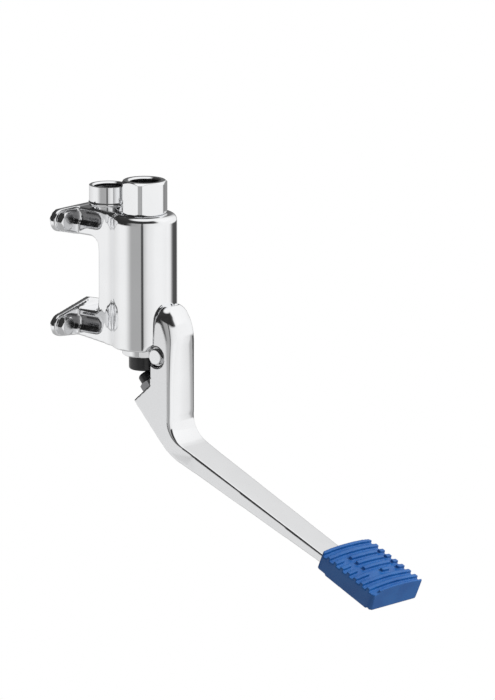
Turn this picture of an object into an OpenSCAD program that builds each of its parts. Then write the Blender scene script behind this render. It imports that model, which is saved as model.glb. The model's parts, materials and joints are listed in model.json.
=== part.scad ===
// Wall-mounted foot pedal tap valve: a chromed casting with two G 1/2 ports, a push-up valve
// and a cast lever with a rubber pedal. Millimetres, +Z up. The wall is the plane y = 0, the
// valve stands in front of it at -y, and the origin is the middle of the four wall screws.

/* [Wall fixing] */
// Distance between the left and the right wall screws
screw_span_x = 54; // [50:0.5:60]
// Distance between the upper and the lower wall screws
screw_span_z = 67; // [64:0.5:72]
// Radius of the rounded end of each ear
ear_r = 7.2; // [6.6:0.1:8]
// Thickness of the wall flanges
flange_t = 4.5; // [3.5:0.1:6]
// Rise of the lower flange from its ears to its middle
lower_flange_rise = 6.6; // [3:0.1:9]
// Diameter of the wall screws
wall_screw_d = 6; // [5:0.5:6]
// Diameter of the wall screws' plain shanks
wall_shank_d = 5; // [4:0.1:5.4]
// Width across flats of the wall screws' heads
wall_head_af = 11; // [10:0.5:12]
// Height of the wall screws' heads
wall_head_h = 4.2; // [3:0.1:6]
// Diameter of the washers under the wall screws
wall_washer_d = 12.6; // [11.5:0.1:13.4]
// Thickness of those washers
wall_washer_t = 1; // [0.8:0.1:2]
// Length of screw that stands out behind the wall flange
stud_len = 3.5; // [3:0.1:8]

/* [Body casting] */
// Distance from the wall to the valve's axis
axis_out = 49; // [48:0.5:54]
// Diameter of the valve cylinder
body_d = 40.8; // [39:0.2:43]
// Height of the casting's top above the middle of the wall screws
body_top = 40; // [38:0.5:42]
// Height of the valve cylinder
body_h = 85.4; // [84:0.2:90]
// Radius of the cylinder's rounded top edge
rim_r = 4.2; // [2:0.1:5]
// Width of the web and of both arms
web_w = 25; // [24:0.5:27]
// Gap between the wall and the back of the web
web_back = 20.3; // [18:0.1:22]
// Radius of the hollow blend between the cylinder and the web
blend_r = 14; // [8:0.5:18]
// Height of the upper arm
upper_arm_h = 17.4; // [16:0.1:20]
// Height of the lower arm at the web
lower_arm_h = 20.4; // [18:0.1:22]
// Rise of the lower arm's underside towards the wall
lower_arm_rise = 4; // [1:0.1:5]
// Radius under the upper arm, where it meets the web
upper_gap_r = 5.5; // [3:0.1:7]
// Radius above the lower arm, where it meets the web
lower_gap_r = 2.5; // [1.5:0.1:4]
// Radius of the spanner channels beside the wall screws
channel_r = 5.2; // [4.5:0.1:5.8]
// Depth of the spanner channels in the arms' sides
channel_depth = 2.7; // [1.5:0.1:3]
// Length of the spanner channels from the wall
channel_len = 24.5; // [20:0.5:27]

/* [Ports] */
// Bore of both ports, the tapping size of G 1/2
port_bore_d = 18.8; // [17.8:0.1:19]
// Mouth of both ports, the full size of G 1/2
port_mouth_d = 21; // [20:0.1:21.4]
// Depth of thread in both ports
port_depth = 13; // [10:0.5:14]
// Clear way through both ports
port_way_d = 13; // [11:0.5:13.4]
// Width across flats of the inlet nut
inlet_af = 27; // [26:0.5:30]
// Diameter to which the inlet nut's corners are turned
inlet_turned_d = 29.4; // [29:0.2:31]
// Height of the inlet nut
inlet_h = 21; // [19:0.5:24]
// Diameter of the inlet's spigot in the casting
inlet_spigot_d = 24; // [23.6:0.1:25]
// Length of the inlet's spigot
inlet_spigot_len = 11; // [9:0.5:13]
// Distance of the outlet behind the valve's axis
outlet_back = 29.6; // [28.6:0.1:31]
// Diameter of the outlet's collar
outlet_d = 24.5; // [23.6:0.1:26]
// Diameter of the band round the foot of the outlet's collar
outlet_band_d = 25.4; // [24.6:0.1:27]
// Height of that band
outlet_band_h = 3.2; // [2:0.1:4]
// Height of the outlet above the casting
outlet_h = 14.4; // [14:0.2:18]
// Height of the neck under the outlet's band
outlet_neck_h = 1.6; // [1:0.1:2.5]
// Diameter of the outlet's spigot in the casting
outlet_spigot_d = 16; // [15:0.1:17]
// Length of the outlet's spigot
outlet_spigot_len = 9; // [8:0.5:9.5]

/* [Valve] */
// Diameter of the valve chamber
chamber_d = 23; // [22:0.1:23.6]
// Height of the seat's lip above the middle of the wall screws
seat_z = -5; // [-8:0.5:-3]
// Height of the seat insert
seat_h = 6; // [5:0.5:8]
// Bore of the seat
seat_d = 12; // [11:0.2:13]
// Diameter of the way below the seat
lower_way_d = 16; // [14:0.5:17]
// Diameter of the two ways that lead to the outlet
outlet_way_d = 10; // [8:0.5:10]
// Diameter of the rubber disc that closes the seat
disc_d = 16; // [15:0.2:17]
// Thickness of the rubber disc
disc_t = 3; // [2:0.1:4]
// Thickness of the disc holder's plate
holder_t = 3; // [2:0.1:4]
// Diameter of the valve stem
stem_d = 8; // [6:0.5:9]
// Diameter of the stem's upper guide
guide_pin_d = 5; // [4:0.2:5.6]
// Thickness of the guide ring
guide_t = 3; // [2:0.1:4]
// Diameter of the spring's wire
spring_wire_d = 1.4; // [1:0.1:1.6]
// Diameter of the spring at the middle of its wire
spring_d = 12; // [11:0.1:13]
// Number of turns of the spring
spring_turns = 5.5; // [4:0.5:7]
// Running clearance of the stem and of the plunger
slide_play = 0.06; // [0.03:0.01:0.1]
// Width across flats of the gland nut
gland_af = 27; // [26.4:0.1:27.2]
// Turn of the gland nut about the valve's axis
gland_turn = 12; // [-30:1:30]
// Height of the gland nut's head below the casting
gland_head_h = 4.9; // [4:0.1:5]
// Diameter of the gland nut's thread
gland_thread_d = 24; // [23.4:0.1:25]
// Length of the gland nut's thread
gland_thread_len = 10.4; // [9:0.1:12]
// Diameter of the plunger
plunger_d = 20; // [19:0.1:20.4]
// Length of plunger that shows below the gland nut
plunger_out = 9.2; // [8.6:0.1:9.2]
// Radius of the plunger's rounded lower edge
plunger_edge_r = 1.5; // [0.5:0.1:2.5]
// Length of plunger inside the gland nut
plunger_in = 5.6; // [4.5:0.1:5.8]

/* [Lever] */
// Distance of the pivot in front of the valve's axis
pivot_out = 19.6; // [19.4:0.1:20.4]
// Depth of the pivot below the casting
pivot_down = 2.1; // [1.6:0.1:2.6]
// Diameter of the pivot bolt
pivot_d = 6; // [5:0.5:6]
// Radius of the casting's pivot lug
lug_r = 5.4; // [5:0.1:5.6]
// Width of the casting's pivot lug
lug_w = 15; // [13:0.5:16]
// Travel of the pedal about the pivot
pedal_travel_deg = 10; // [6:1:10]
// Width of the lever
lever_w = 25; // [24.4:0.2:27]
// Depth of the lever in front of its pivot
lever_front = 10.7; // [10.4:0.1:12]
// Depth of the lever behind its pivot
lever_back = 5; // [4.6:0.1:5.2]
// Height of the lever's top above its pivot
lever_top = 32.4; // [30:0.2:35]
// Radius of the upper corners of the lever's head
head_corner_r = 10.5; // [8:0.5:12]
// Height above the pivot at which the lever's front starts to curve back
brow_start = 7.5; // [5:0.5:9]
// Radius of the lever's curved brow
brow_r = 36; // [34:0.5:40]
// Thickness of the lever's front wall
lever_wall = 4; // [3.5:0.1:4.4]
// Gap on each side between the lever's cheeks and the lug
cheek_gap = 0.3; // [0.2:0.05:0.5]
// Depth of the lever's hollow below its pivot
hollow_down = 13; // [11:0.5:14]
// Height of the hollow's roof above the pivot
hollow_up = 14; // [13:0.5:14.5]
// Drop of the heel's tip below the pivot
heel_down = 30.1; // [29:0.1:32]
// Distance of the heel's tip behind the pivot
heel_back = 18.2; // [17.5:0.1:19]
// Slope of the heel's upper face
heel_slope = 40.8; // [38:0.2:43]
// Drop of the elbow's lower corner below the pivot
elbow_down = 61; // [59:0.5:64]
// Distance of the elbow's lower corner in front of the pivot
elbow_out = 9.6; // [7:0.2:12]
// Radius of the elbow's hollow front
elbow_r = 20; // [12:1:24]
// Drop of the arm's top line below the pivot, at the lever's front
arm_drop = 49.6; // [47:0.2:52]
// Slope of the arm's top face
arm_slope = 24.9; // [22:0.1:28]
// Distance from the pivot forward to the end of the bare arm
arm_reach = 140.8; // [130:0.2:155]
// Thickness of the arm at its pedal end
arm_end_t = 5.8; // [5.4:0.1:7]
// Half width of the arm at its pedal end
arm_end_half_w = 10; // [9.5:0.1:11.5]
// Distance in front of the pivot at which the arm starts to narrow
taper_start = 15; // [10:1:25]

/* [Adjusting screw] */
// Diameter of the adjusting screw
adjuster_d = 8; // [6:0.5:8]
// Diameter of the adjusting screw's domed tip
adjuster_head_d = 10.4; // [9.6:0.2:12]
// Distance of the screw from the heel's tip, along the heel's face
adjuster_in = 9; // [8:0.1:10]
// Thickness of its lock nut
lock_nut_h = 6.4; // [4:0.1:6.8]
// Width across flats of its lock nut
lock_nut_af = 13; // [12:0.5:14]
// Depth of the screw in the heel
adjuster_depth = 12; // [9:0.5:14]
// Gap between the screw's head and the plunger at rest
adjuster_gap = 0.3; // [0.2:0.05:0.5]

/* [Pivot fittings] */
// Outer diameter of the lever's bushes
bush_d = 9; // [8:0.2:10]
// Running clearance of the pivot bolt in the bushes
pivot_play = 0.05; // [0.02:0.01:0.1]
// Diameter of the recess round the pivot bolt
recess_d = 13.4; // [12.8:0.1:14]
// Depth of that recess
recess_depth = 2.4; // [2:0.1:2.6]
// Diameter of the pivot washers
pivot_washer_d = 11.8; // [11:0.1:12.4]
// Thickness of the pivot washers
pivot_washer_t = 0.8; // [0.6:0.1:1.2]
// Gap between each washer and the lever
washer_gap = 0.1; // [0.05:0.01:0.2]
// Width across flats of the pivot bolt's head
pivot_head_af = 9.6; // [9:0.1:10]
// Height of the pivot bolt's head
pivot_head_h = 2.4; // [2:0.1:3.4]
// Height of the pivot nut
pivot_nut_h = 4; // [3:0.1:5]
// Width across flats of the pivot nut
pivot_nut_af = 9.6; // [9:0.1:10]
// Diameter of the lever's rubber stop
stop_d = 6.6; // [5:0.2:7]
// Height of the rubber stop above the pivot
stop_up = 18; // [17.8:0.2:20]
// Gap between the rubber stop and the casting at rest
stop_gap = 0.3; // [0.2:0.05:0.5]
// Depth of the stop's pocket in the lever's head
stop_depth = 3; // [2:0.5:4]

/* [Pedal pad] */
// Width of the pad
pad_w = 47.6; // [42:0.2:54]
// Length of the pad along its slope
pad_l = 47; // [46:0.5:54]
// Thickness of the pad's back corners
pad_back_t = 11.2; // [10.6:0.1:14]
// Thickness of the pad's front corners
pad_front_t = 11.9; // [11.2:0.1:16]
// Forward lean of the pad's back and front faces
pad_lean = 1.4; // [0:0.1:3]
// Height of the raised middle of the pad's underside
pad_under = 0.9; // [0.4:0.1:1.4]
// Radius of the pad's corners, seen from above
pad_corner_r = 4; // [2:0.1:6]
// Height of the pad's crown in the middle
pad_crown = 1.7; // [1:0.1:2.4]
// Gap between the arm's end and the pad's back face
pad_gap = 0.3; // [0.2:0.05:0.5]
// Height of the pad's corners above the arm's top face
pad_over_arm = 9.3; // [8.8:0.1:10]
// Distance from one rib of the tread to the next
rib_pitch = 5.76; // [5.4:0.02:5.8]
// Width of the ribs
rib_w = 2.6; // [2:0.1:3.4]
// Height of the ribs
rib_h = 2; // [1:0.1:2.5]
// Length of the arm's tongue inside the pad
tongue_l = 34; // [24:0.5:38]
// Thickness of the tongue
tongue_t = 4.2; // [3.6:0.1:5]
// Width of the tongue
tongue_w = 17; // [14:0.5:18.5]
// Gap between the tongue and the pad's pocket
tongue_play = 0.2; // [0.1:0.05:0.3]
// Thickness of rubber round the tongue
sleeve_wall = 2; // [1.5:0.1:3]

/* [Hidden] */
$fn = 96;
hidden_step = 0.01;
body_bottom = body_top - body_h;
body_r = body_d / 2;
web_front_y = -axis_out;
lower_arm_top = body_bottom + lower_arm_h;
upper_arm_low = body_top - upper_arm_h;
outlet_y = -axis_out + outlet_back;
ear_x = screw_span_x / 2;
ear_z = screw_span_z / 2;
screw_hole_r = wall_screw_d / 2 + 0.3;

inlet_top = body_top + inlet_h;
spigot_low = body_top - inlet_spigot_len;
inlet_shoulder = inlet_top - port_depth;
outlet_top = body_top + outlet_h;
outlet_depth = port_depth - 2;
port_seat_d = port_bore_d - 0.4;
gasket_d = port_seat_d - 0.2;
strainer_flange_t = 0.8;
strainer_depth = 10;
port_gasket_t = 2;
way_r = outlet_way_d / 2;
riser_y = -web_back - way_r - 2.7;
cross_way_z = seat_z - seat_h - way_r - 6;
outlet_pocket_low = body_top - outlet_spigot_len;
gland_top = body_bottom + gland_thread_len;
gland_washer_t = 1;
gland_low = body_bottom - gland_head_h;
plunger_low = gland_low - plunger_out;
plunger_top = gland_low + plunger_in;
stroke_room = 3.3;
pocket_top = plunger_top + stroke_room;
holder_top = seat_z + disc_t + holder_t;

pivot_y = -axis_out - pivot_out;
pivot_z = body_bottom - pivot_down;
cheek_in = lug_w / 2 + cheek_gap;
lever_half = lever_w / 2;
front_y = pivot_y - lever_front;
body_gap = 0.35;
stop_end = axis_out + body_r + body_gap + stop_depth;
web_inner_y = front_y + lever_wall;
heel_y = pivot_y + heel_back;
heel_z = pivot_z - heel_down;
elbow_y = pivot_y - elbow_out;
elbow_z = pivot_z - elbow_down;
arm_top_z = pivot_z - arm_drop;
arm_end_y = pivot_y - arm_reach;
washer_in = lever_half - recess_depth + washer_gap;
head_in = washer_in + pivot_washer_t;
lug_bore_r = pivot_d / 2 + 0.02;
bush_r = pivot_d / 2 + pivot_play;

arm_end_z = arm_top_z + (arm_end_y - front_y) * tan(arm_slope);
pad_side_top = 4;
pad_end = pad_gap + pad_rear(pad_over_arm);
pad_y = arm_end_y - pad_end * cos(arm_slope) - pad_over_arm * sin(arm_slope);
pad_z = arm_end_z - pad_end * sin(arm_slope) + pad_over_arm * cos(arm_slope);
lever_low = min(arm_end_z, elbow_z) - 20;
adjuster_y = heel_y - adjuster_in * cos(heel_slope);
adjuster_z = heel_z + adjuster_in * sin(heel_slope);
head_chamfer = 1;
head_top_r = adjuster_head_d / 2 - head_chamfer;
adjuster_reach = (plunger_low - adjuster_gap - adjuster_z - head_top_r * sin(heel_slope))
    / cos(heel_slope);

// Place along the slope of the pad's back face at a depth below the pad's corners
function pad_rear(depth) =
    -pad_lean * min(1, (depth + pad_side_top) / (pad_back_t + pad_side_top));

// Place in the side view of a point in the pad's frame
function pad_point(y, z) = [
    pad_y + y * cos(arm_slope) - z * sin(arm_slope),
    pad_z + y * sin(arm_slope) + z * cos(arm_slope)
];

// Points of an arc of radius r round [y, z], from angle a to angle b
function arc(y, z, r, a, b, steps = 10) =
    [for (i = [0 : steps]) let (t = a + (b - a) * i / steps) [y + r * cos(t), z + r * sin(t)]];

chrome = [0.86, 0.87, 0.89];
brass = [0.78, 0.66, 0.36];
steel = [0.62, 0.64, 0.67];
rubber = [0.09, 0.09, 0.10];
nylon = [0.90, 0.89, 0.84];
blue = [0.16, 0.33, 0.64];

// Cylinder about the valve's axis, between two heights
module valve_cyl(d, low, high) {
    translate([0, -axis_out, low]) cylinder(d = d, h = high - low);
}

// Solid drawn as a side view, in y and z, and w wide
module side_view(w) {
    translate([-w / 2, 0, 0]) rotate([90, 0, 90]) linear_extrude(w) children();
}

// Solid drawn as a front view, in x and z, between two distances from the wall
module front_view(far, near) {
    translate([0, -near, 0]) rotate([90, 0, 0]) linear_extrude(far - near) children();
}

// Cylinder along x through a place in the side view
module cross_pin(d, y, z, from_x, to_x) {
    translate([from_x, y, z]) rotate([0, 90, 0]) cylinder(d = d, h = to_x - from_x);
}

// Places the children at each of the four wall screws
module at_wall_screws() {
    for (x = [-ear_x, ear_x], z = [-ear_z, ear_z]) translate([x, 0, z]) children();
}

// Cylinder along y between two distances from the wall
module wall_cyl(d, far, near) {
    translate([0, -near, 0]) rotate([90, 0, 0]) cylinder(d = d, h = far - near);
}

// Hexagonal bar with its corners turned to a diameter and its ends chamfered
module turned_hex(af, turned_d, h, chamfer) {
    intersection() {
        rotate([0, 0, 30]) cylinder(d = af / cos(30), h = h, $fn = 6);
        rotate_extrude() polygon([
            [0, 0], [af / 2 - 0.4, 0], [turned_d / 2, chamfer],
            [turned_d / 2, h - chamfer], [af / 2 - 0.4, h], [0, h]
        ]);
    }
}

// Plan of the hollow blend on one side between the cylinder and the web
module blend_plan() {
    cx = web_w / 2 + blend_r;
    cy = sqrt(pow(body_r + blend_r, 2) - pow(cx, 2));
    difference() {
        polygon([[0, 0], [cx * body_r / (body_r + blend_r), cy * body_r / (body_r + blend_r)],
            [cx, cy], [web_w / 2, cy], [0, cy]]);
        translate([cx, cy]) circle(r = blend_r);
    }
}

// Side view of the web and its two arms, with the gap to the wall
module web_side() {
    difference() {
        translate([web_front_y, body_bottom]) square([axis_out, body_h]);
        translate([-web_back, lower_arm_top])
            square([web_back + 1, upper_arm_low - lower_arm_top]);
        polygon([[-web_back - 10, body_bottom - 1], [-web_back - 10, body_bottom],
            [1, body_bottom + lower_arm_rise], [1, body_bottom - 1]]);
    }
    difference() {
        translate([-web_back - 1, upper_arm_low - upper_gap_r])
            square([upper_gap_r + 1, upper_gap_r + 1]);
        translate([-web_back + upper_gap_r, upper_arm_low - upper_gap_r])
            circle(r = upper_gap_r);
    }
    difference() {
        translate([-web_back - 1, lower_arm_top - 1])
            square([lower_gap_r + 1, lower_gap_r + 1]);
        translate([-web_back + lower_gap_r, lower_arm_top + lower_gap_r])
            circle(r = lower_gap_r);
    }
}

// Front view of a wall flange: two round ears and the plate between them
module flange_front(z, top_mid, low_mid) {
    for (x = [-ear_x, ear_x]) translate([x, z]) circle(r = ear_r);
    polygon([
        [-ear_x, z + ear_r], [0, top_mid], [ear_x, z + ear_r],
        [ear_x, z - ear_r], [web_w / 2, low_mid], [-web_w / 2, low_mid], [-ear_x, z - ear_r]
    ]);
}

// Side view of the pivot lug under the front of the casting
module lug_side() {
    translate([pivot_y, pivot_z]) circle(r = lug_r);
    polygon([
        [pivot_y - lug_r, pivot_z], [pivot_y - lug_r, pivot_z + 6],
        [-axis_out - body_r + 2, pivot_z + 12.5], [pivot_y + lug_r, pivot_z + 12.5],
        [pivot_y + lug_r, pivot_z]
    ]);
}

// Spanner channels in the arms' sides, in line with the wall screws
module spanner_channels() {
    for (side = [-1, 1], z = [-ear_z, ear_z])
        translate([side * (web_w / 2 + channel_r - channel_depth), 0, z]) {
            wall_cyl(2 * channel_r, channel_len - channel_r, flange_t);
            translate([0, -channel_len + channel_r, 0]) sphere(r = channel_r);
        }
}

// Bores and water ways of the casting
module casting_ways() {
    valve_cyl(inlet_spigot_d, spigot_low, body_top + 1);
    valve_cyl(chamber_d, seat_z - seat_h, spigot_low + hidden_step);
    valve_cyl(lower_way_d, gland_top, seat_z - seat_h + hidden_step);
    valve_cyl(gland_thread_d, body_bottom - 1, gland_top + gland_washer_t);
    translate([0, -axis_out, cross_way_z]) rotate([-90, 0, 0])
        cylinder(d = outlet_way_d, h = riser_y + axis_out + way_r - 1);
    translate([0, riser_y, cross_way_z]) cylinder(d = outlet_way_d, h = outlet_pocket_low - cross_way_z);
    translate([0, outlet_y, outlet_pocket_low])
        cylinder(d = outlet_spigot_d, h = outlet_spigot_len + 1);
}

module body_casting() {
    color(chrome) difference() {
        union() {
            translate([0, -axis_out, body_bottom]) rotate_extrude() {
                square([body_r, body_h - rim_r]);
                square([body_r - rim_r, body_h]);
                translate([body_r - rim_r, body_h - rim_r]) intersection() {
                    circle(r = rim_r);
                    square(rim_r);
                }
            }
            side_view(web_w) web_side();
            translate([0, -axis_out, body_bottom]) for (side = [0, 1]) mirror([side, 0, 0])
                linear_extrude(body_h - rim_r / 2) blend_plan();
            front_view(flange_t, 0)
                flange_front(ear_z, body_top + 0.6, upper_arm_low);
            front_view(flange_t, 0)
                flange_front(-ear_z, -ear_z + ear_r + lower_flange_rise, body_bottom + lower_arm_rise - 0.6);
            side_view(lug_w) lug_side();
        }
        casting_ways();
        spanner_channels();
        at_wall_screws() wall_cyl(2 * screw_hole_r, flange_t + 1, -1);
        cross_pin(2 * lug_bore_r, pivot_y, pivot_z, -lug_w, lug_w);
        for (side = [-1, 1]) cross_pin(recess_d + 0.4, pivot_y, pivot_z,
            side < 0 ? -head_in - pivot_nut_h - 3 : lug_w / 2,
            side < 0 ? -lug_w / 2 : head_in + pivot_nut_h + 3);
    }
}

// Bore of a port: its mouth at height top, its thread, its gasket's seat and the way below
module port_bore(top, depth, seat, mouth_chamfer, low) {
    translate([0, 0, top - depth]) cylinder(d = port_seat_d, h = depth);
    translate([0, 0, top - depth + seat]) cylinder(d = port_bore_d, h = depth - seat + 1);
    translate([0, 0, top - mouth_chamfer]) cylinder(
        d1 = port_bore_d, d2 = port_mouth_d + 2 * hidden_step, h = mouth_chamfer + hidden_step);
    translate([0, 0, low - 1]) cylinder(d = port_way_d, h = top - low);
}

module inlet_connector() {
    color(chrome) translate([0, -axis_out, 0]) difference() {
        union() {
            translate([0, 0, body_top]) turned_hex(inlet_af, inlet_turned_d, inlet_h, 1.4);
            translate([0, 0, spigot_low]) cylinder(d = inlet_spigot_d - 0.04, h = inlet_spigot_len);
        }
        port_bore(inlet_top, port_depth, strainer_flange_t + port_gasket_t, 1.1, spigot_low);
    }
}

module outlet_union() {
    band_low = body_top + outlet_neck_h;
    color(chrome) translate([0, outlet_y, 0]) difference() {
        union() {
            translate([0, 0, outlet_pocket_low])
                cylinder(d = outlet_spigot_d - 0.04, h = outlet_spigot_len + 1);
            translate([0, 0, body_top]) cylinder(d = outlet_d - 3, h = outlet_neck_h + 1);
            translate([0, 0, band_low]) rotate_extrude() {
                square([outlet_d / 2, outlet_band_h]);
                translate([outlet_band_d / 2 - outlet_band_h / 2, outlet_band_h / 2])
                    circle(d = outlet_band_h);
            }
            translate([0, 0, band_low + 1]) cylinder(d = outlet_d, h = outlet_top - band_low - 1);
        }
        port_bore(outlet_top, outlet_depth, port_gasket_t, 1.1, outlet_pocket_low);
    }
}

// Flat ring lying on a height, with its inner and outer diameters
module ring(inner, outer, h) {
    difference() {
        cylinder(d = outer, h = h);
        translate([0, 0, -1]) cylinder(d = inner, h = h + 2);
    }
}

module inlet_strainer() {
    cup_d = port_way_d - 0.8;
    color(steel) translate([0, -axis_out, inlet_shoulder]) difference() {
        union() {
            cylinder(d = gasket_d, h = strainer_flange_t);
            translate([0, 0, -strainer_depth]) cylinder(d = cup_d, h = strainer_depth + 0.1);
        }
        translate([0, 0, -strainer_depth + 0.8]) cylinder(d = cup_d - 1.6, h = strainer_depth + 2);
        for (z = [-7.6, -4.8, -2], turn = [0 : 30 : 330])
            translate([0, 0, z]) rotate([90, 0, turn])
                translate([0, 0, cup_d / 2 - 2]) cylinder(d = 1.6, h = 4, $fn = 24);
    }
}

module inlet_gasket() {
    color(rubber) translate([0, -axis_out, inlet_shoulder + strainer_flange_t])
        ring(port_way_d, gasket_d, port_gasket_t);
}

module outlet_gasket() {
    color(rubber) translate([0, outlet_y, outlet_top - outlet_depth])
        ring(port_way_d, gasket_d, port_gasket_t);
}

module guide_ring() {
    color(brass) translate([0, -axis_out, spigot_low - guide_t]) difference() {
        cylinder(d = chamber_d - 0.1, h = guide_t);
        translate([0, 0, -1]) cylinder(d = guide_pin_d + 2 * slide_play, h = guide_t + 2);
        for (turn = [0 : 90 : 270]) rotate([0, 0, turn + 45])
            translate([(spring_d + guide_pin_d) / 4, 0, -1])
                cylinder(d = 2.2, h = guide_t + 2, $fn = 24);
        for (turn = [0 : 60 : 300]) rotate([0, 0, turn])
            translate([(chamber_d + spring_d) / 4, 0, -1])
                cylinder(d = 3, h = guide_t + 2, $fn = 24);
    }
}

spring_low = holder_top + spring_wire_d / 2 + 0.05;
spring_high = spigot_low - guide_t - spring_wire_d / 2 - 0.05;
spring_steps = 8 * spring_turns;

// Middle of the spring's wire at step i
function spring_at(i) = [
    spring_d / 2 * cos(45 * i), spring_d / 2 * sin(45 * i),
    spring_low + (spring_high - spring_low) * i / spring_steps
];

// Corner k of the six-sided ring round the wire at step i
function spring_corner(i, k) = let (
    c = spring_at(i),
    out = [cos(45 * i), sin(45 * i), 0],
    r = spring_wire_d / 2
) c + r * cos(60 * k) * out + [0, 0, r * sin(60 * k)];

module valve_spring() {
    points = [for (i = [0 : spring_steps], k = [0 : 5]) spring_corner(i, k)];
    last = 6 * spring_steps;
    sides = [for (i = [0 : spring_steps - 1], k = [0 : 5], half = [0, 1])
        let (a = 6 * i + k, b = 6 * i + (k + 1) % 6)
        half == 0 ? [a, a + 6, b] : [b, a + 6, b + 6]];
    ends = [for (k = [1 : 4], half = [0, 1])
        half == 0 ? [0, k, k + 1] : [last, last + k + 1, last + k]];
    color(steel) translate([0, -axis_out, 0]) polyhedron(points, concat(sides, ends));
}
echo(spring_gap = min([for (k = [0 : 7]) norm(spring_at(k + 8) - spring_at(k)) - spring_wire_d]));

module disc_holder() {
    pin_top = spigot_low + 1;
    color(brass) translate([0, -axis_out, 0]) difference() {
        union() {
            translate([0, 0, seat_z + disc_t]) cylinder(d = disc_d, h = holder_t);
            translate([0, 0, holder_top - 1]) cylinder(d = guide_pin_d, h = pin_top - holder_top + 1);
        }
        translate([0, 0, seat_z + disc_t - 1]) cylinder(d = 4.04, h = holder_t + 3);
    }
}

module valve_disc() {
    color(rubber) translate([0, -axis_out, seat_z]) ring(4.1, disc_d, disc_t);
}

module valve_seat() {
    color(brass) translate([0, -axis_out, seat_z - seat_h]) difference() {
        union() {
            cylinder(d = chamber_d - 0.04, h = seat_h - 1);
            cylinder(d = seat_d + 2.4, h = seat_h - 0.02);
        }
        translate([0, 0, -1]) cylinder(d = seat_d, h = seat_h + 2);
    }
}

module valve_stem() {
    color(steel) {
        valve_cyl(stem_d, plunger_low + 4, seat_z);
        valve_cyl(4, seat_z - 0.5, seat_z + disc_t + holder_t + 1.5);
    }
}

module stem_seal() {
    seal_low = pocket_top + 1.6;
    color(rubber) translate([0, -axis_out, seal_low]) rotate_extrude()
        translate([stem_d / 2 + 1.12, 1]) circle(r = 1, $fn = 32);
}

module gland_washer() {
    color(nylon) translate([0, -axis_out, gland_top])
        ring(lower_way_d, gland_thread_d - 0.4, gland_washer_t);
}

module gland_nut() {
    seal_low = pocket_top + 1.6;
    color(chrome) difference() {
        union() {
            translate([0, -axis_out, gland_low])
                rotate([0, 0, 30 + gland_turn]) turned_hex(gland_af, gland_af + 1.2, gland_head_h, 0.8);
            valve_cyl(gland_thread_d - 0.04, body_bottom - 1, gland_top);
        }
        valve_cyl(plunger_d + 2 * slide_play, gland_low - 1, pocket_top);
        valve_cyl(stem_d + 2 * slide_play, pocket_top - 1, gland_top + 1);
        valve_cyl(stem_d + 4.3, seal_low - 0.1, seal_low + 2.1);
    }
}

module plunger() {
    color(rubber) translate([0, -axis_out, plunger_low]) difference() {
        rotate_extrude() {
            translate([0, plunger_edge_r]) square([plunger_d / 2, plunger_out + plunger_in - plunger_edge_r]);
            square([plunger_d / 2 - plunger_edge_r, plunger_edge_r + 1]);
            translate([plunger_d / 2 - plunger_edge_r, plunger_edge_r]) circle(r = plunger_edge_r);
        }
        translate([0, 0, 4]) cylinder(d = stem_d + 0.04, h = plunger_out + plunger_in);
    }
}

module wall_screws() {
    head_far = flange_t + wall_washer_t + wall_head_h;
    color(steel) at_wall_screws() {
        wall_cyl(wall_screw_d, 0, -stud_len);
        wall_cyl(wall_shank_d, flange_t + wall_washer_t, -0.5);
        translate([0, -flange_t - wall_washer_t, 0]) rotate([90, 0, 0])
            intersection() {
                cylinder(d = wall_head_af / cos(30), h = wall_head_h, $fn = 6);
                rotate_extrude() polygon([
                    [0, 0], [wall_head_af / 2 + 1, 0], [wall_head_af / 2 + 1, wall_head_h - 0.9],
                    [wall_head_af / 2 - 0.5, wall_head_h], [0, wall_head_h]
                ]);
            }
    }
}

module wall_washers() {
    color(steel) at_wall_screws() difference() {
        wall_cyl(wall_washer_d, flange_t + wall_washer_t, flange_t);
        wall_cyl(wall_screw_d + 0.4, flange_t + wall_washer_t + 1, flange_t - 1);
    }
}

// Side view of the whole lever: head, heel, elbow and arm
module lever_side() {
    back_y = pivot_y + lever_back;
    brow_y = front_y + brow_r;
    brow_z = pivot_z + brow_start;
    top_z = pivot_z + lever_top;
    brow_end = 180 - asin((top_z - brow_z) / brow_r);
    half = (90 + arm_slope) / 2;
    tangent = elbow_r / tan(half);
    fillet_y = front_y - elbow_r;
    fillet_z = arm_top_z + tangent;
    arm_under_depth = pad_over_arm + arm_end_t;
    arm_under = pad_point(pad_gap + pad_rear(arm_under_depth), -arm_under_depth);
    face_top_z = heel_z + (heel_y - back_y) * tan(heel_slope);
    polygon(concat(
        arc(brow_y, brow_z, brow_r, brow_end, 180),
        arc(fillet_y, fillet_z, elbow_r, 0, arm_slope - 90),
        [
            [arm_end_y, arm_end_z], arm_under,
            [elbow_y - 7, elbow_z - 3.4], [elbow_y - 2, elbow_z - 0.4], [elbow_y + 2, elbow_z + 2.6],
            [heel_y - 0.6, heel_z - 0.8], [heel_y, heel_z],
            [back_y, face_top_z], [back_y, body_bottom - 1], [-axis_out, body_bottom - 1],
            [-axis_out, top_z]
        ]
    ));
}

// Front view of the lever's round-topped head and its straight sides
module lever_front_view() {
    round_z = pivot_z + lever_top - head_corner_r;
    corner_x = lever_half - head_corner_r;
    for (side = [-1, 1]) translate([side * corner_x, round_z]) circle(r = head_corner_r);
    translate([-corner_x, round_z]) square([2 * corner_x, head_corner_r]);
    translate([-lever_half, lever_low]) square([lever_w, round_z - lever_low]);
}

// Top view of the lever, which narrows along the arm
module lever_plan() {
    narrow_y = pivot_y - taper_start;
    polygon([
        [-lever_half, 0], [-lever_half, narrow_y], [-lever_half + 1, narrow_y - 16],
        [-arm_end_half_w, arm_end_y], [arm_end_half_w, arm_end_y],
        [lever_half - 1, narrow_y - 16], [lever_half, narrow_y], [lever_half, 0]
    ]);
}

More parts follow.
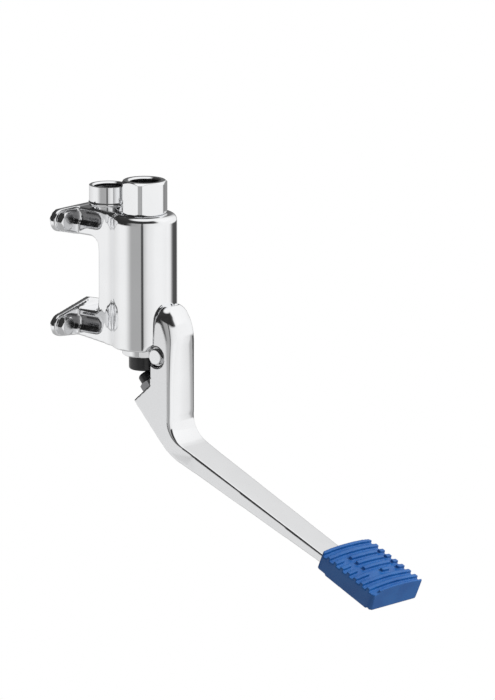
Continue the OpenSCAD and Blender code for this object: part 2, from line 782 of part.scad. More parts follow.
// Places the children in the pad's frame: -y runs down the slope and z is square to the tread
module at_pad() {
    translate([0, pad_y, pad_z]) rotate([arm_slope, 0, 0]) children();
}

// The arm's tongue, with an extra gap all round for the pocket
module tongue(gap, length) {
    start = 4;
    at_pad() translate([-tongue_w / 2 - gap, -length - gap, -pad_over_arm - tongue_t - gap])
        cube([tongue_w + 2 * gap, length + gap + start, tongue_t + gap + min(gap, 0.1)]);
}

// Places the children on the heel's face, with z along the adjusting screw
module at_adjuster() {
    translate([0, adjuster_y, adjuster_z]) rotate([-heel_slope, 0, 0]) children();
}

module lever_arm() {
    color(chrome) difference() {
        union() {
            intersection() {
                side_view(lever_w) lever_side();
                front_view(arm_end_t - arm_end_y, 0) lever_front_view();
                translate([0, 0, lever_low]) linear_extrude(body_top - lever_low) lever_plan();
            }
            tongue(0, tongue_l);
        }
        valve_cyl(body_d + 2 * body_gap, body_bottom - 2, body_top);
        side_view(2 * cheek_in) polygon([
            [web_inner_y, pivot_z - hollow_down], [web_inner_y, pivot_z + hollow_up],
            [0, pivot_z + hollow_up], [0, pivot_z - hollow_down]
        ]);
        cross_pin(bush_d + 0.04, pivot_y, pivot_z, -lever_w, lever_w);
        for (side = [-1, 1]) cross_pin(recess_d, pivot_y, pivot_z,
            side < 0 ? -lever_w : lever_half - recess_depth, side < 0 ? -lever_half + recess_depth : lever_w);
        at_adjuster() translate([0, 0, -adjuster_depth - 1])
            cylinder(d = adjuster_d + 0.04, h = adjuster_depth + 10);
        translate([0, 0, pivot_z + stop_up]) wall_cyl(stop_d + 0.04, stop_end, axis_out);
    }
}

module lever_stop() {
    color(rubber) difference() {
        translate([0, 0, pivot_z + stop_up]) wall_cyl(stop_d, stop_end, axis_out + body_r - 2);
        valve_cyl(body_d + 2 * stop_gap, body_bottom, body_top);
    }
}

module pivot_bushes() {
    color(nylon) for (side = [-1, 1]) difference() {
        cross_pin(bush_d, pivot_y, pivot_z,
            side < 0 ? -lever_half + recess_depth : cheek_in, side < 0 ? -cheek_in : lever_half - recess_depth);
        cross_pin(2 * bush_r, pivot_y, pivot_z, -lever_w, lever_w);
    }
}

module pivot_washers() {
    color(steel) for (side = [-1, 1]) difference() {
        cross_pin(pivot_washer_d, pivot_y, pivot_z,
            side < 0 ? -head_in : washer_in, side < 0 ? -washer_in : head_in);
        cross_pin(pivot_d + 0.1, pivot_y, pivot_z, -lever_w, lever_w);
    }
}

module pivot_bolt() {
    color(steel) {
        cross_pin(pivot_d, pivot_y, pivot_z, -head_in - 1, head_in + pivot_nut_h + 1);
        translate([-head_in, pivot_y, pivot_z]) rotate([0, -90, 0])
            turned_hex(pivot_head_af, pivot_head_af / cos(30) - 0.3, pivot_head_h, 0.6);
    }
}

module pivot_nut() {
    color(steel) translate([head_in, pivot_y, pivot_z]) rotate([0, 90, 0]) difference() {
        turned_hex(pivot_nut_af, pivot_nut_af / cos(30) - 0.3, pivot_nut_h, 0.6);
        translate([0, 0, -1]) cylinder(d = pivot_d + 0.04, h = pivot_nut_h + 2);
    }
}

module adjusting_screw() {
    color(rubber) at_adjuster() {
        translate([0, 0, -adjuster_depth]) cylinder(d = adjuster_d, h = adjuster_depth + lock_nut_h + 0.5);
        rotate_extrude() polygon([
            [0, lock_nut_h + 0.1], [adjuster_head_d / 2, lock_nut_h + 0.1],
            [adjuster_head_d / 2, adjuster_reach - head_chamfer],
            [head_top_r, adjuster_reach], [0, adjuster_reach]
        ]);
    }
}

module lock_nut() {
    color(steel) at_adjuster() difference() {
        turned_hex(lock_nut_af, lock_nut_af / cos(30) - 0.3, lock_nut_h, 0.8);
        translate([0, 0, -1]) cylinder(d = adjuster_d + 0.06, h = lock_nut_h + 2);
    }
}

// Plan of the pad with rounded corners, from its back edge down the slope
module pad_plan() {
    half = pad_w / 2;
    r = pad_corner_r;
    length = pad_l + pad_lean;
    translate([-half, -length + r]) square([pad_w, length - 2 * r]);
    translate([-half + r, -length]) square([pad_w - 2 * r, length]);
    for (x = [-half + r, half - r], y = [-r, -length + r]) translate([x, y]) circle(r = r);
}

// Ribs of the tread as [row, from x, to x], with x as a share of half the width
RIBS = [
    [0, -1, 1], [1, -1, 1],
    [2, -1, -0.66], [2, -0.4, 0.66], [2, 0.78, 1],
    [3, -1, -0.66], [3, -0.4, 0.66], [3, 0.78, 1],
    [4, -1, -0.66], [4, -0.4, 0.66], [4, 0.78, 1],
    [5, -1, -0.46], [5, 0.06, 0.34], [5, 0.71, 1],
    [6, -1, 1], [7, -1, 1], [8, -0.78, 1]
];

// Side view of the pad, open at the top
module pad_side() {
    slope = (pad_front_t - pad_back_t) / pad_l;
    first = 8.5;
    last = pad_l - 2;
    polygon([
        [0, pad_side_top], [-pad_lean, -pad_back_t],
        [-first, -pad_back_t - slope * first], [-first - 0.6, -pad_back_t - slope * first - pad_under],
        [-last, -pad_back_t - slope * last - pad_under], [-last - 0.4, -pad_back_t - slope * last],
        [-last - 1.2, -pad_back_t - slope * last], [-last - 1.8, -pad_back_t - slope * last - pad_under],
        [-pad_l - pad_lean, -pad_front_t - pad_under], [-pad_l, pad_side_top]
    ]);
}

// The crowned block of the pad, its top lowered by an amount
module pad_block(lower) {
    crown_r = (pow(pad_w / 2, 2) + pow(pad_crown, 2)) / (2 * pad_crown);
    intersection() {
        translate([0, 0, -pad_front_t - 2]) linear_extrude(pad_front_t + 6) pad_plan();
        side_view(pad_w + 2) pad_side();
        translate([0, 1, pad_crown - crown_r - lower]) rotate([90, 0, 0])
            cylinder(r = crown_r, h = pad_l + pad_lean + 2, $fn = 200);
    }
}

module pedal_pad() {
    sleeve_l = tongue_l + sleeve_wall + 1;
    color(blue) difference() {
        at_pad() union() {
            pad_block(rib_h);
            intersection() {
                pad_block(0);
                for (rib = RIBS)
                    translate([rib[1] * pad_w / 2, -rib[0] * rib_pitch - rib_w, -rib_h - 2])
                        cube([(rib[2] - rib[1]) * pad_w / 2, rib_w, rib_h + pad_crown + 3]);
            }
            translate([-tongue_w / 2 - sleeve_wall, -sleeve_l, -pad_over_arm - tongue_t - sleeve_wall])
                cube([tongue_w + 2 * sleeve_wall, sleeve_l - pad_lean, tongue_t + sleeve_wall]);
        }
        tongue(tongue_play, tongue_l);
    }
}

body_casting();
inlet_connector();
outlet_union();
inlet_gasket();
inlet_strainer();
outlet_gasket();
guide_ring();
valve_spring();
disc_holder();
valve_disc();
valve_seat();
valve_stem();
gland_nut();
gland_washer();
stem_seal();
plunger();
wall_screws();
wall_washers();
lever_arm();
pivot_bolt();
pivot_nut();
pivot_washers();
pivot_bushes();
lever_stop();
adjusting_screw();
lock_nut();
pedal_pad();
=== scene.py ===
import bpy
import json
from math import cos, hypot, pi, radians, sin, sqrt, tan
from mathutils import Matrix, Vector


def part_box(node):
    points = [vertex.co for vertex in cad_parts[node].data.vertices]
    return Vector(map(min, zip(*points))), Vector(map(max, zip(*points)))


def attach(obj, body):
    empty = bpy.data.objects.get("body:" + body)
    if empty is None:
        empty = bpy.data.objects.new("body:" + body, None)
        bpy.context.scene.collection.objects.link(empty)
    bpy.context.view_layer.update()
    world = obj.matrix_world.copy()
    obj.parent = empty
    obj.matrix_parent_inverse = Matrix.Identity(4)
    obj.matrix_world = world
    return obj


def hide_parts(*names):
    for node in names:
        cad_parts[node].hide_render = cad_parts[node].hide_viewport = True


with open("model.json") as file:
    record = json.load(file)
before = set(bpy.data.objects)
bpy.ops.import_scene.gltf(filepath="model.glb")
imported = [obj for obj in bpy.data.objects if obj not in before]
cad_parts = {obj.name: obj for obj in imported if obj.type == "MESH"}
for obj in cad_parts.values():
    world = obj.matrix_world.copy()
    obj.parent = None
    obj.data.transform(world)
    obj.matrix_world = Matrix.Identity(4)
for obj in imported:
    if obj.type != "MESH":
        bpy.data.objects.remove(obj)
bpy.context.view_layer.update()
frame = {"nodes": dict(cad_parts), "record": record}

# Camera, backdrop and light
camera = {
    "place": (-4.6517, -4.05034, 1.2564),
    "aim": (0.024588, -0.112535, -0.04305),
    "lens": 514.29,
}
studio = {
    "floorHeight": -0.34,
    "floorSize": 30.0,
    "skyStrength": 0.5,
    "lamp": {"place": (0.9, -1.7, 1.3), "aim": (0, -0.12, -0.05), "size": 1.0, "power": 52.0},
}

# What the metal mirrors: grey by compass angle in degrees, 0 towards -y and 90 towards +x,
# in bands that fade into each other between two heights of the mirrored ray
skyBands = [
    {"fade": None, "greys": [(-180, 0.42), (-60, 0.55), (60, 0.5), (180, 0.42)]},
    {"fade": (-0.7, -0.4), "greys": [
        (-180, 0.79), (-160, 0.85), (-145, 0.9), (-126, 0.9), (-118, 0.84), (-108, 0.62),
        (-100, 0.45), (-96, 0.4), (-63, 0.4), (-60.5, 0.06), (-55.5, 0.06), (-52, 0.57),
        (-42, 0.76), (-35, 0.82), (-25, 0.86), (-10, 0.92), (10, 0.93), (30, 0.9), (44, 0.93),
        (57, 0.78), (59, 0.45), (66, 0.4), (69, 0.1), (98, 0.06), (112, 0.33), (126, 0.2),
        (140, 0.3), (154, 0.72)]},
    {"fade": (-0.165, -0.125), "greys": [
        (-180, 0.03), (-118, 0.03), (-100, 0.2), (-96, 0.35), (-63, 0.4), (-60.5, 0.06),
        (-55.5, 0.06), (-52, 0.57), (-42, 0.76), (-25, 0.86), (22, 0.92), (60, 0.95),
        (104, 0.9), (114, 0.5), (124, 0.2), (135, 0.1), (160, 0.05)]},
    {"fade": (0.28, 0.36), "greys": [
        (-180, 0.03), (-20, 0.03), (-4, 0.1), (8, 0.9), (30, 1.0), (88, 0.95), (104, 0.78),
        (111, 0.72), (117, 0.3), (124, 0.15), (150, 0.05)]},
    {"fade": (0.5, 0.6), "greys": [
        (-180, 0.04), (-20, 0.03), (-4, 0.1), (8, 0.9), (30, 1.0), (88, 0.95), (104, 0.8),
        (111, 0.74), (117, 0.35), (124, 0.18), (136, 0.12), (150, 0.06)]},
    {"fade": (0.84, 0.93), "greys": [(-180, 0.95), (180, 0.95)]},
]


def deselectAll():
    if bpy.context.mode != "OBJECT":
        bpy.ops.object.mode_set(mode="OBJECT")
    bpy.ops.object.select_all(action="DESELECT")


def makeActive(piece):
    deselectAll()
    piece.select_set(True)
    bpy.context.view_layer.objects.active = piece


def addCamera():
    data = bpy.data.cameras.new("photoCamera")
    data.lens = camera["lens"]
    data.sensor_width = 36
    data.clip_start = 0.1
    data.clip_end = 60
    view = bpy.data.objects.new("photoCamera", data)
    bpy.context.scene.collection.objects.link(view)
    view.location = camera["place"]
    toward = Vector(camera["aim"]) - Vector(camera["place"])
    view.rotation_euler = toward.to_track_quat("-Z", "Y").to_euler()
    bpy.context.scene.camera = view


def newMaterial(name):
    material = bpy.data.materials.new(name)
    material.use_nodes = True
    return material, material.node_tree.nodes, material.node_tree.links


def addFloor():
    deselectAll()
    place = (0, 0, studio["floorHeight"])
    bpy.ops.mesh.primitive_plane_add(size=studio["floorSize"], location=place)
    floor = bpy.context.active_object
    floor.name = "studioFloor"
    material, nodes, links = newMaterial("paleFloor")
    paint = nodes["Principled BSDF"]
    paint.inputs["Base Color"].default_value = (0.92, 0.92, 0.92, 1)
    paint.inputs["Roughness"].default_value = 0.9
    glow = nodes.new("ShaderNodeEmission")
    path = nodes.new("ShaderNodeLightPath")
    mix = nodes.new("ShaderNodeMixShader")
    links.new(path.outputs["Is Camera Ray"], mix.inputs[0])
    links.new(paint.outputs[0], mix.inputs[1])
    links.new(glow.outputs[0], mix.inputs[2])
    links.new(mix.outputs[0], nodes["Material Output"].inputs["Surface"])
    floor.data.materials.append(material)
    floor.visible_glossy = False
    floor.visible_diffuse = False


def addWorld():
    world = bpy.data.worlds.new("softTent")
    bpy.context.scene.world = world
    world.use_nodes = True
    nodes, links = world.node_tree.nodes, world.node_tree.links
    nodes.clear()

    def rescaled(source, low, high):
        node = nodes.new("ShaderNodeMapRange")
        node.inputs["From Min"].default_value = low
        node.inputs["From Max"].default_value = high
        links.new(source, node.inputs["Value"])
        return node.outputs[0]

    def greyRing(stops, source):
        node = nodes.new("ShaderNodeValToRGB")
        links.new(source, node.inputs["Fac"])
        ramp = node.color_ramp
        while len(ramp.elements) > 1:
            ramp.elements.remove(ramp.elements[0])
        if stops[-1][0] < 180:
            stops = stops + [(180, stops[0][1])]
        for i, (angle, grey) in enumerate(stops):
            share = (angle + 180) / 360
            stop = ramp.elements[0] if i == 0 else ramp.elements.new(share)
            stop.position = share
            stop.color = (grey, grey, grey, 1)
        return node.outputs["Color"]

    def glow(colour, strength):
        node = nodes.new("ShaderNodeBackground")
        if isinstance(colour, tuple):
            node.inputs["Color"].default_value = colour
        else:
            links.new(colour, node.inputs["Color"])
        node.inputs["Strength"].default_value = strength
        return node.outputs[0]

    def chosen(choice, otherwise, then):
        node = nodes.new("ShaderNodeMixShader")
        links.new(choice, node.inputs[0])
        links.new(otherwise, node.inputs[1])
        links.new(then, node.inputs[2])
        return node.outputs[0]

    place = nodes.new("ShaderNodeTexCoord")
    split = nodes.new("ShaderNodeSeparateXYZ")
    links.new(place.outputs["Generated"], split.inputs[0])
    forward = nodes.new("ShaderNodeMath")
    forward.operation = "MULTIPLY"
    forward.inputs[1].default_value = -1
    links.new(split.outputs["Y"], forward.inputs[0])
    compass = nodes.new("ShaderNodeMath")
    compass.operation = "ARCTAN2"
    links.new(split.outputs["X"], compass.inputs[0])
    links.new(forward.outputs[0], compass.inputs[1])
    turn = rescaled(compass.outputs[0], -pi, pi)

    sky = None
    for band in skyBands:
        ring = greyRing(band["greys"], turn)
        if band["fade"] is None:
            sky = ring
            continue
        mix = nodes.new("ShaderNodeMixRGB")
        links.new(rescaled(split.outputs["Z"], *band["fade"]), mix.inputs[0])
        links.new(sky, mix.inputs[1])
        links.new(ring, mix.inputs[2])
        sky = mix.outputs[0]
    path = nodes.new("ShaderNodeLightPath")
    white = (1, 1, 1, 1)
    lit = chosen(path.outputs["Is Glossy Ray"], glow(white, studio["skyStrength"]), glow(sky, 1.0))
    seen = chosen(path.outputs["Is Camera Ray"], lit, glow(white, 1.0))
    out = nodes.new("ShaderNodeOutputWorld")
    links.new(seen, out.inputs["Surface"])


def addLamp():
    lamp = studio["lamp"]
    data = bpy.data.lights.new("softBox", "AREA")
    data.size = lamp["size"]
    data.energy = lamp["power"]
    light = bpy.data.objects.new("softBox", data)
    bpy.context.scene.collection.objects.link(light)
    light.location = lamp["place"]
    toward = Vector(lamp["aim"]) - Vector(lamp["place"])
    light.rotation_euler = toward.to_track_quat("-Z", "Y").to_euler()
    light.visible_glossy = False


addCamera()
addFloor()
addWorld()
addLamp()
bpy.context.scene.view_settings.view_transform = "Standard"
print("studio ready")


# Finishes, one for each material slot of the record
def noiseTone(nodes, links, place, scale, detail, dark, light, spread):
    noise = nodes.new("ShaderNodeTexNoise")
    noise.inputs["Scale"].default_value = scale
    noise.inputs["Detail"].default_value = detail
    links.new(place.outputs["Object"], noise.inputs["Vector"])
    tone = nodes.new("ShaderNodeValToRGB")
    tone.color_ramp.elements[0].position = 0.5 - spread
    tone.color_ramp.elements[1].position = 0.5 + spread
    tone.color_ramp.elements[0].color = tuple(dark) + (1,)
    tone.color_ramp.elements[1].color = tuple(light) + (1,)
    links.new(noise.outputs["Fac"], tone.inputs["Fac"])
    return noise, tone


def fineBump(nodes, links, place, shader, scale, strength, depth):
    noise = nodes.new("ShaderNodeTexNoise")
    noise.inputs["Scale"].default_value = scale
    links.new(place.outputs["Object"], noise.inputs["Vector"])
    bump = nodes.new("ShaderNodeBump")
    bump.inputs["Strength"].default_value = strength
    bump.inputs["Distance"].default_value = depth
    links.new(noise.outputs["Fac"], bump.inputs["Height"])
    links.new(bump.outputs["Normal"], shader.inputs["Normal"])


def metalFinish(name, colour, roughness, grain, grainSize, bump):
    material, nodes, links = newMaterial(name)
    shader = nodes["Principled BSDF"]
    shader.inputs["Metallic"].default_value = 1
    place = nodes.new("ShaderNodeTexCoord")
    dark = tuple(c * 0.97 for c in colour)
    noise, tone = noiseTone(nodes, links, place, grainSize, 3, dark, colour, 0.2)
    links.new(tone.outputs["Color"], shader.inputs["Base Color"])
    rough = nodes.new("ShaderNodeMapRange")
    rough.inputs["To Min"].default_value = roughness
    rough.inputs["To Max"].default_value = roughness + grain
    links.new(noise.outputs["Fac"], rough.inputs["Value"])
    links.new(rough.outputs[0], shader.inputs["Roughness"])
    if bump:
        fineBump(nodes, links, place, shader, grainSize * 6, bump, 0.0001)
    return material


def plasticFinish(name, dark, light, roughness, scale, bump):
    material, nodes, links = newMaterial(name)
    shader = nodes["Principled BSDF"]
    place = nodes.new("ShaderNodeTexCoord")
    noise, tone = noiseTone(nodes, links, place, scale, 4, dark, light, 0.15)
    links.new(tone.outputs["Color"], shader.inputs["Base Color"])
    shader.inputs["Roughness"].default_value = roughness
    fineBump(nodes, links, place, shader, scale * 12, bump, 0.0002)
    return material


finishes = {
    "chrome": metalFinish("polishedChrome", (0.95, 0.955, 0.965), 0.05, 0.03, 60, 0),
    "brass": metalFinish("turnedBrass", (0.78, 0.62, 0.30), 0.22, 0.12, 220, 0.1),
    "steel": metalFinish("brushedSteel", (0.60, 0.61, 0.63), 0.26, 0.14, 240, 0.1),
    "dark_steel": metalFinish("blackedSteel", (0.30, 0.30, 0.31), 0.2, 0.12, 240, 0.05),
    "screws": metalFinish("platedSteel", (0.88, 0.885, 0.895), 0.09, 0.06, 120, 0.05),
    "black_rubber": plasticFinish(
        "blackRubber", (0.012, 0.012, 0.013), (0.022, 0.022, 0.024), 0.6, 180, 0.15),
    "black_plastic": plasticFinish(
        "blackPlastic", (0.02, 0.02, 0.022), (0.034, 0.034, 0.037), 0.24, 150, 0.05),
    "nylon": plasticFinish(
        "whiteNylon", (0.82, 0.8, 0.74), (0.88, 0.87, 0.82), 0.45, 150, 0.08),
    "blue_rubber": plasticFinish(
        "blueRubber", (0.008, 0.085, 0.3), (0.012, 0.105, 0.34), 0.36, 90, 0.2),
}
# a darker metal inside the port mouths and down the bores below them, threads and all
darkBoreFinish = metalFinish("darkPortBore", (0.16, 0.16, 0.165), 0.3, 0.1, 200, 0.1)
# painted shade: a darker chrome for the lever's flat sides, standing in for the darker light they
# mirror
shadedSideFinish = metalFinish("paintedShadeSide", (0.8, 0.805, 0.815), 0.1, 0.05, 60, 0)
# painted shade: a dark chrome for the spanner channels and the pivot recess, standing in for the
# shade and dark reflections in these hollows
shadedHollowFinish = metalFinish("paintedShadeHollow", (0.24, 0.24, 0.245), 0.16, 0.08, 200, 0.05)

slotOf = {part["node"]: part["material_slot"] for part in frame["record"]["subparts"]}
bodies = frame["record"]["behaviour"]["bodies"]
bodyOf = {node: body for body, nodes in bodies.items() for node in nodes}

for name, node in frame["nodes"].items():
    node.data.materials.clear()
    node.data.materials.append(finishes[slotOf[name]])
print("finishes ready")


# Tools for the pieces
shading = {"facetAngle": 35, "skinAngle": 60, "faceWeight": 100}
merging = {"distance": 0.000002, "flatAngle": 0.6}


def mergedCopy(node, name):
    mesh = frame["nodes"][node].data.copy()
    mesh.name = name
    piece = bpy.data.objects.new(name, mesh)
    bpy.context.scene.collection.objects.link(piece)
    makeActive(piece)
    bpy.ops.object.mode_set(mode="EDIT")
    bpy.ops.mesh.select_all(action="SELECT")
    bpy.ops.mesh.remove_doubles(threshold=merging["distance"])
    bpy.ops.mesh.dissolve_limited(angle_limit=radians(merging["flatAngle"]))
    bpy.ops.object.mode_set(mode="OBJECT")
    return piece


def paintFaces(piece, finish, chosen):
    piece.data.materials.append(finish)
    for face in piece.data.polygons:
        if chosen(face.center, face.normal):
            face.material_index = len(piece.data.materials) - 1


def finishPiece(piece, node, isSkin=False):
    makeActive(piece)
    angle = shading["skinAngle"] if isSkin else shading["facetAngle"]
    bpy.ops.object.shade_smooth_by_angle(angle=radians(angle))
    if not isSkin:  # keeps the flats of nuts and heads flat beside their broken edges
        flat = piece.modifiers.new("flatFaces", "WEIGHTED_NORMAL")
        flat.weight = shading["faceWeight"]
        flat.keep_sharp = True
        applyModifiers(piece)
    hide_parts(node)
    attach(piece, bodyOf[node])


def applyModifiers(piece):
    makeActive(piece)
    for modifier in list(piece.modifiers):
        bpy.ops.object.modifier_apply(modifier=modifier.name)


def cutInBands(piece, high, low, step):
    z = high
    while z > low:
        makeActive(piece)
        bpy.ops.object.mode_set(mode="EDIT")
        bpy.ops.mesh.select_all(action="SELECT")
        bpy.ops.mesh.bisect(plane_co=(0, 0, z), plane_no=(0, 0, 1))
        bpy.ops.object.mode_set(mode="OBJECT")
        z -= step


def bevelEdges(piece, width, limit=30, segments=3):
    bevel = piece.modifiers.new("edges", "BEVEL")
    bevel.width = width
    bevel.segments = segments
    bevel.limit_method = "ANGLE"
    bevel.angle_limit = radians(limit)
    bevel.use_clamp_overlap = True
    applyModifiers(piece)


def cutWith(piece, tool, operation):
    cut = piece.modifiers.new("cut", "BOOLEAN")
    cut.operation = operation
    cut.solver = "EXACT"
    cut.object = tool
    applyModifiers(piece)
    bpy.data.objects.remove(tool)


def roundedSkin(piece, voxel, passes):
    remesh = piece.modifiers.new("skin", "REMESH")
    remesh.mode = "VOXEL"
    remesh.voxel_size = voxel
    remesh.use_smooth_shade = True
    smooth = piece.modifiers.new("rounding", "SMOOTH")
    smooth.factor = 0.5
    smooth.iterations = passes
    applyModifiers(piece)
    print(piece.name, len(piece.data.polygons))


# A closed solid over rings of equally many points, from one end to the other
def solidFromRings(name, rings):
    count = len(rings[0])
    points = [point for ring in rings for point in ring]
    faces = [list(range(count)), [len(points) - count + k for k in range(count)]]
    for i in range(len(rings) - 1):
        for k in range(count):
            a = i * count + k
            b = i * count + (k + 1) % count
            faces.append([a, b, b + count, a + count])
    mesh = bpy.data.meshes.new(name)
    mesh.from_pydata(points, [], faces)
    piece = bpy.data.objects.new(name, mesh)
    bpy.context.scene.collection.objects.link(piece)
    makeActive(piece)
    bpy.ops.object.mode_set(mode="EDIT")
    bpy.ops.mesh.select_all(action="SELECT")
    bpy.ops.mesh.normals_make_consistent(inside=False)
    bpy.ops.object.mode_set(mode="OBJECT")
    return piece


# Fittings: the CAD shapes with their edges broken, by width
pieceEdges = {
    "gland_nut": ("glandNut", 0.0003),
    "wall_screws": ("wallScrewHeads", 0.0004),
    "wall_washers": ("wallWasherRings", 0.00025),
    "pivot_bolt": ("pivotBoltHead", 0.0003),
    "pivot_nut": ("pivotNutHex", 0.00025),
    "pivot_washers": ("pivotWasherRings", 0.0002),
    "plunger": ("plungerSleeve", 0.0003),
    "adjusting_screw": ("adjustingScrewHead", 0.0003),
    "lock_nut": ("lockNutHex", 0.00025),
}
for node, (name, width) in pieceEdges.items():
    piece = mergedCopy(node, name)
    bevelEdges(piece, width)
    finishPiece(piece, node)
print("fittings ready")

# Ports: the two connectors with their pipe threads cut
ports = {
    "pitch": 0.001814,
    "bore": 0.0094,
    "groove": 0.0008,
    "inside": 0.0002,
    "sides": 72,
    "wayBelow": 0.02,
    "mouthAbove": 0.0004,
    "inlet": {
        "node": "inlet_connector", "name": "inletNut",
        "y": -0.049, "low": 0.0512, "high": 0.0597, "edge": 0.0004,
    },
    "outlet": {
        "node": "outlet_union", "name": "outletCollar",
        "y": -0.0194, "low": 0.0458, "high": 0.0531, "edge": 0.0003,
    },
}


def threadTool(port):
    rings = []
    height = port["low"]
    small = ports["bore"] - ports["inside"]
    large = small + ports["inside"] + ports["groove"]
    turns = [2 * pi * k / ports["sides"] for k in range(ports["sides"])]
    while height + ports["pitch"] < port["high"]:
        for share, radius in ((0, small), (0.4, large), (0.8, small)):
            z = height + share * ports["pitch"]
            rings.append([(radius * cos(a), port["y"] + radius * sin(a), z) for a in turns])
        height += ports["pitch"]
    return solidFromRings("threadTool", rings)


def threadedPort(port):
    piece = mergedCopy(port["node"], port["name"])
    bevelEdges(piece, port["edge"])
    cutWith(piece, threadTool(port), "DIFFERENCE")
    reach = ports["bore"] + ports["groove"] + ports["inside"] / 2

    def inMouth(at, way):
        deep = port["low"] - ports["wayBelow"] < at.z < port["high"] + ports["mouthAbove"]
        return deep and hypot(at.x, at.y - port["y"]) < reach

    # the port's mouth and the bore below it get the darker metal
    paintFaces(piece, darkBoreFinish, inMouth)
    finishPiece(piece, port["node"])


threadedPort(ports["inlet"])
threadedPort(ports["outlet"])
print("ports ready")

# Casting: its web is rounded at the back, and the spanner channels get painted shade, a dark chrome
casting = {
    "voxel": 0.00066,
    "passes": 10,
    "webHalf": 0.0125,
    "webBack": -0.0203,
    "webRound": 0.0028,
    "webReach": 0.0006,
    "webLow": -0.024,
    "webHigh": 0.0225,
    "webFade": 0.009,
    "channelHeight": 0.0335,
    "channelRadius": 0.0053,
    "channelInner": 0.006,
    "channelStart": -0.0055,
    "channelEnd": -0.026,
    "margin": 0.0002,
}


def roundWeb(piece):
    across = casting["webHalf"] - casting["webRound"]
    along = casting["webBack"] - casting["webRound"]
    for vertex in piece.data.vertices:
        at = vertex.co
        out, back = abs(at.x) - across, at.y - along
        if out <= 0 or back <= 0 or not casting["webLow"] < at.z < casting["webHigh"]:
            continue
        reach = hypot(out, back)
        if reach <= casting["webRound"] or back > casting["webRound"] + casting["webReach"]:
            continue
        ends = min(at.z - casting["webLow"], casting["webHigh"] - at.z) / casting["webFade"]
        pull = (1 - casting["webRound"] / reach) * min(1, ends)
        at.x -= pull * out * (1 if at.x > 0 else -1)
        at.y -= pull * back


def inChannel(at, way):
    level = abs(abs(at.z) - casting["channelHeight"]) < casting["channelRadius"]
    inside = casting["channelInner"] < abs(at.x) < casting["webHalf"] - casting["margin"]
    return level and inside and casting["channelEnd"] < at.y < casting["channelStart"]


def makeCasting():
    piece = mergedCopy("body_casting", "valveCasting")
    remesh = piece.modifiers.new("skin", "REMESH")
    remesh.mode = "VOXEL"
    remesh.voxel_size = casting["voxel"]
    applyModifiers(piece)
    roundWeb(piece)
    smooth = piece.modifiers.new("rounding", "SMOOTH")
    smooth.factor = 0.5
    smooth.iterations = casting["passes"]
    applyModifiers(piece)
    # painted shade in the spanner channels
    paintFaces(piece, shadedHollowFinish, inChannel)
    print(piece.name, len(piece.data.polygons))
    finishPiece(piece, "body_casting", isSkin=True)


makeCasting()
print("casting ready")

# Lever: the CAD shape cut back to an envelope, whose front edges are rounded most at the top,
# where the head becomes a dome. Its sides carry painted shade, a darker chrome than its front, and
# its pivot recess painted shade as well
lever = {
    "half": 0.0125,
    "top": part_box("lever_arm")[1][2],
    "front": -0.0793,
    "browStart": -0.04,
    "browRadius": 0.036,
    "armTop": -0.0971,
    "armSlope": radians(24.9),
    "elbowRadius": 0.02,
    "narrowFrom": -0.0836,
    "narrowTo": -0.0996,
    "armEnd": -0.2094,
    "endHalf": 0.01,
    "cornerRadius": 0.0105,
    "valveAxis": -0.049,
    "contactRadius": 0.02075,
    "contactLow": -0.0474,
    "flatBack": -0.0636,
    "flatLow": -0.062,
    "frontTurn": radians(6),
    "pivot": (-0.0686, -0.0475),
    "recess": 0.0069,
    "taper": 0.001,
    "armRound": 0.0008,
    "smallRound": 0.0025,
    "smallFrom": (-0.104, 0.016),  # height where it starts to grow, and how far it grows
    "largeRound": 0.0055,
    "largeFrom": (-0.086, 0.059),
    "rearSmall": 0.0012,
    "rearLarge": 0.0034,
    "rearFrom": (-0.045, 0.03),
    "bulge": 0.54,
    "bulgeFrom": (-0.1, 0.016),
    "roundShare": 0.9,  # most that a rounding takes of the half width, and of the head's depth
    "roomShare": 0.85,
    "rearShare": 0.3,
    "openRoom": 0.1,
    "sideNormal": 0.97,
    "skinMargin": 0.0003,
    "innerMargin": 0.0002,
    "topMargin": 0.00005,
    "frontDepth": 0.0038,
    "bandsLow": -0.1,
    "bandStep": 0.003,
    "envelopeLow": -0.176,
    "envelopeHalf": 0.0145,
    "envelopeBack": 0.008,
    "fineAbove": -0.045,
    "fineStep": 0.0006,
    "coarseStep": 0.0015,
    "voxel": 0.0005,
    "passes": 10,
}


def grown(z, growth):
    start, rise = growth
    return max(0, min(1, (z - start) / rise))


def leverFront(z):
    tangent = lever["elbowRadius"] / tan((pi / 2 + lever["armSlope"]) / 2)
    foot = lever["armTop"] + tangent
    if z > lever["browStart"]:
        rise = z - lever["browStart"]
        return lever["front"] + lever["browRadius"] - sqrt(lever["browRadius"] ** 2 - rise ** 2)
    if z > foot:
        return lever["front"]
    drop = foot - z
    lowest = lever["elbowRadius"] * cos(lever["armSlope"])
    if drop < lowest:
        return lever["front"] - lever["elbowRadius"] + sqrt(lever["elbowRadius"] ** 2 - drop ** 2)
    reach = lever["front"] - lever["elbowRadius"] * (1 - sin(lever["armSlope"]))
    return reach - (drop - lowest) / tan(lever["armSlope"])


def leverHalf(y, z):
    radius = lever["cornerRadius"]
    dome = z - (lever["top"] - radius)
    if dome > 0:
        return lever["half"] - radius + sqrt(max(radius ** 2 - dome ** 2, 0))
    if y > lever["narrowFrom"]:
        return lever["half"]
    middleHalf = lever["half"] - lever["taper"]
    if y > lever["narrowTo"]:
        share = (lever["narrowFrom"] - y) / (lever["narrowFrom"] - lever["narrowTo"])
        return lever["half"] - lever["taper"] * share
    share = (lever["narrowTo"] - y) / (lever["narrowTo"] - lever["armEnd"])
    return middleHalf + (lever["endHalf"] - middleHalf) * share


def leverRound(z):
    small = lever["smallRound"] * grown(z, lever["smallFrom"])
    return lever["armRound"] + small + lever["largeRound"] * grown(z, lever["largeFrom"]) ** 3


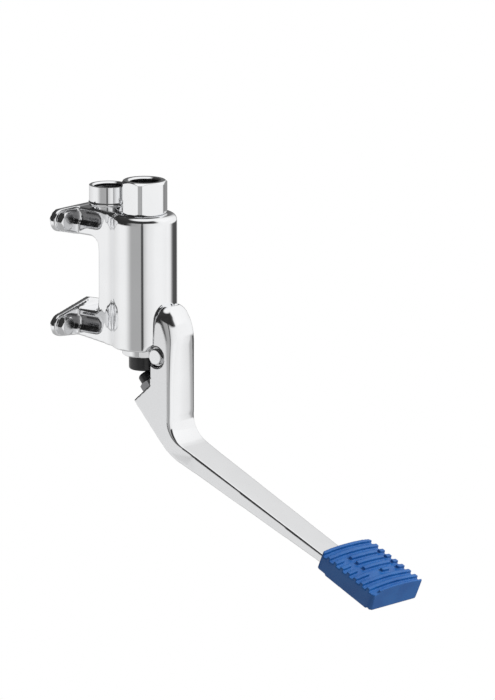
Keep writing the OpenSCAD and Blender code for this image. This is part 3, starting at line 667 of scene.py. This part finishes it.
def leverBulge(z):
    return lever["bulge"] * leverRound(z) * grown(z, lever["bulgeFrom"])


# The head's back lies in a hollow around the valve's cylinder, and below it is flat
def leverBack(x, z):
    if z < lever["contactLow"]:
        return lever["flatBack"]
    return lever["valveAxis"] - sqrt(lever["contactRadius"] ** 2 - x ** 2)


# The radius of the head's rear edges, and how far its back rolls forward below the top
def rearRounding(z, room):
    growth = grown(z, lever["rearFrom"]) ** 2
    radius = min(lever["rearSmall"] + lever["rearLarge"] * growth, room * lever["rearShare"])
    depth = max(0, radius - (lever["top"] - z))
    return radius, radius - sqrt(radius ** 2 - depth ** 2)


def leverRear(z, half, radius, roll):
    if z < lever["flatLow"]:
        wide = [(lever["envelopeHalf"], 0.001 * k) for k in range(7)]
        return wide + [(x, lever["envelopeBack"]) for x in (0.01, 0.005, 0)]
    inner = max(half - radius, half * lever["rearShare"])
    start = leverBack(half, z) - roll - radius
    end = leverBack(inner, z) - roll
    arc = [
        (inner + (half - inner) * cos(radians(t)), start + (end - start) * sin(radians(t)))
        for t in range(0, 91, 15)
    ]
    beyond = roll - lever["innerMargin"]
    return arc + [(inner * k, leverBack(inner * k, z) - beyond) for k in (0.66, 0.33, 0)]


def leverRing(z):
    y = leverFront(z)
    half = leverHalf(y, z)
    y -= leverBulge(z)
    room = leverBack(half, z) - y if z > lever["flatLow"] else lever["openRoom"]
    rear, roll = rearRounding(z, room)
    most = (room - rear - roll) * lever["roomShare"]
    radius = min(leverRound(z), half * lever["roundShare"], most)
    turn = lever["frontTurn"]
    edge = half - radius + radius * sin(turn)
    sag = edge * tan(turn) / 2
    front = [(edge * k / 4, y + sag * (k / 4) ** 2) for k in range(4)]
    corner = [
        (half - radius + radius * sin(radians(t)), y + sag + radius * (cos(turn) - cos(radians(t))))
        for t in range(6, 91, 7)
    ]
    side = front + corner + leverRear(z, half, rear, roll)
    outline = side + [(-x, way) for x, way in reversed(side) if x > 0]
    return [(x, way, z) for x, way in outline]


def onBrow(at):
    return at.z > lever["browStart"] and at.y < leverFront(at.z) + lever["skinMargin"]


def inRecess(at, way):
    away = hypot(at.y - lever["pivot"][0], at.z - lever["pivot"][1])
    return away < lever["recess"] and abs(at.x) < lever["half"] - lever["innerMargin"]


def onSide(at, way):
    return abs(way.x) > lever["sideNormal"]


def makeLever():
    piece = mergedCopy("lever_arm", "leverCasting")
    cutInBands(piece, lever["top"] - lever["bandStep"], lever["bandsLow"], lever["bandStep"])
    for vertex in piece.data.vertices:
        at = vertex.co
        isFront = at.y < lever["front"] + lever["frontDepth"] and at.z > lever["bandsLow"]
        if isFront or onBrow(at):
            at.y -= leverBulge(at.z)
    rings = []
    z = lever["top"] - lever["topMargin"]
    while z > lever["envelopeLow"]:
        rings.append(leverRing(z))
        z -= lever["fineStep"] if z > lever["fineAbove"] else lever["coarseStep"]
    envelope = solidFromRings("leverEnvelope", rings)
    cutWith(piece, envelope, "INTERSECT")
    roundedSkin(piece, lever["voxel"], lever["passes"])
    # painted shade on the lever's flat sides
    paintFaces(piece, shadedSideFinish, onSide)
    # painted shade in the pivot recess
    paintFaces(piece, shadedHollowFinish, inRecess)
    finishPiece(piece, "lever_arm", isSkin=True)


makeLever()
print("lever ready")

# Pedal pad: a moulded skin with soft edges over the ribs
pad = {"voxel": 0.0004, "passes": 6}


def makePad():
    piece = mergedCopy("pedal_pad", "pedalPad")
    roundedSkin(piece, pad["voxel"], pad["passes"])
    finishPiece(piece, "pedal_pad", isSkin=True)


makePad()
print("pedal ready")
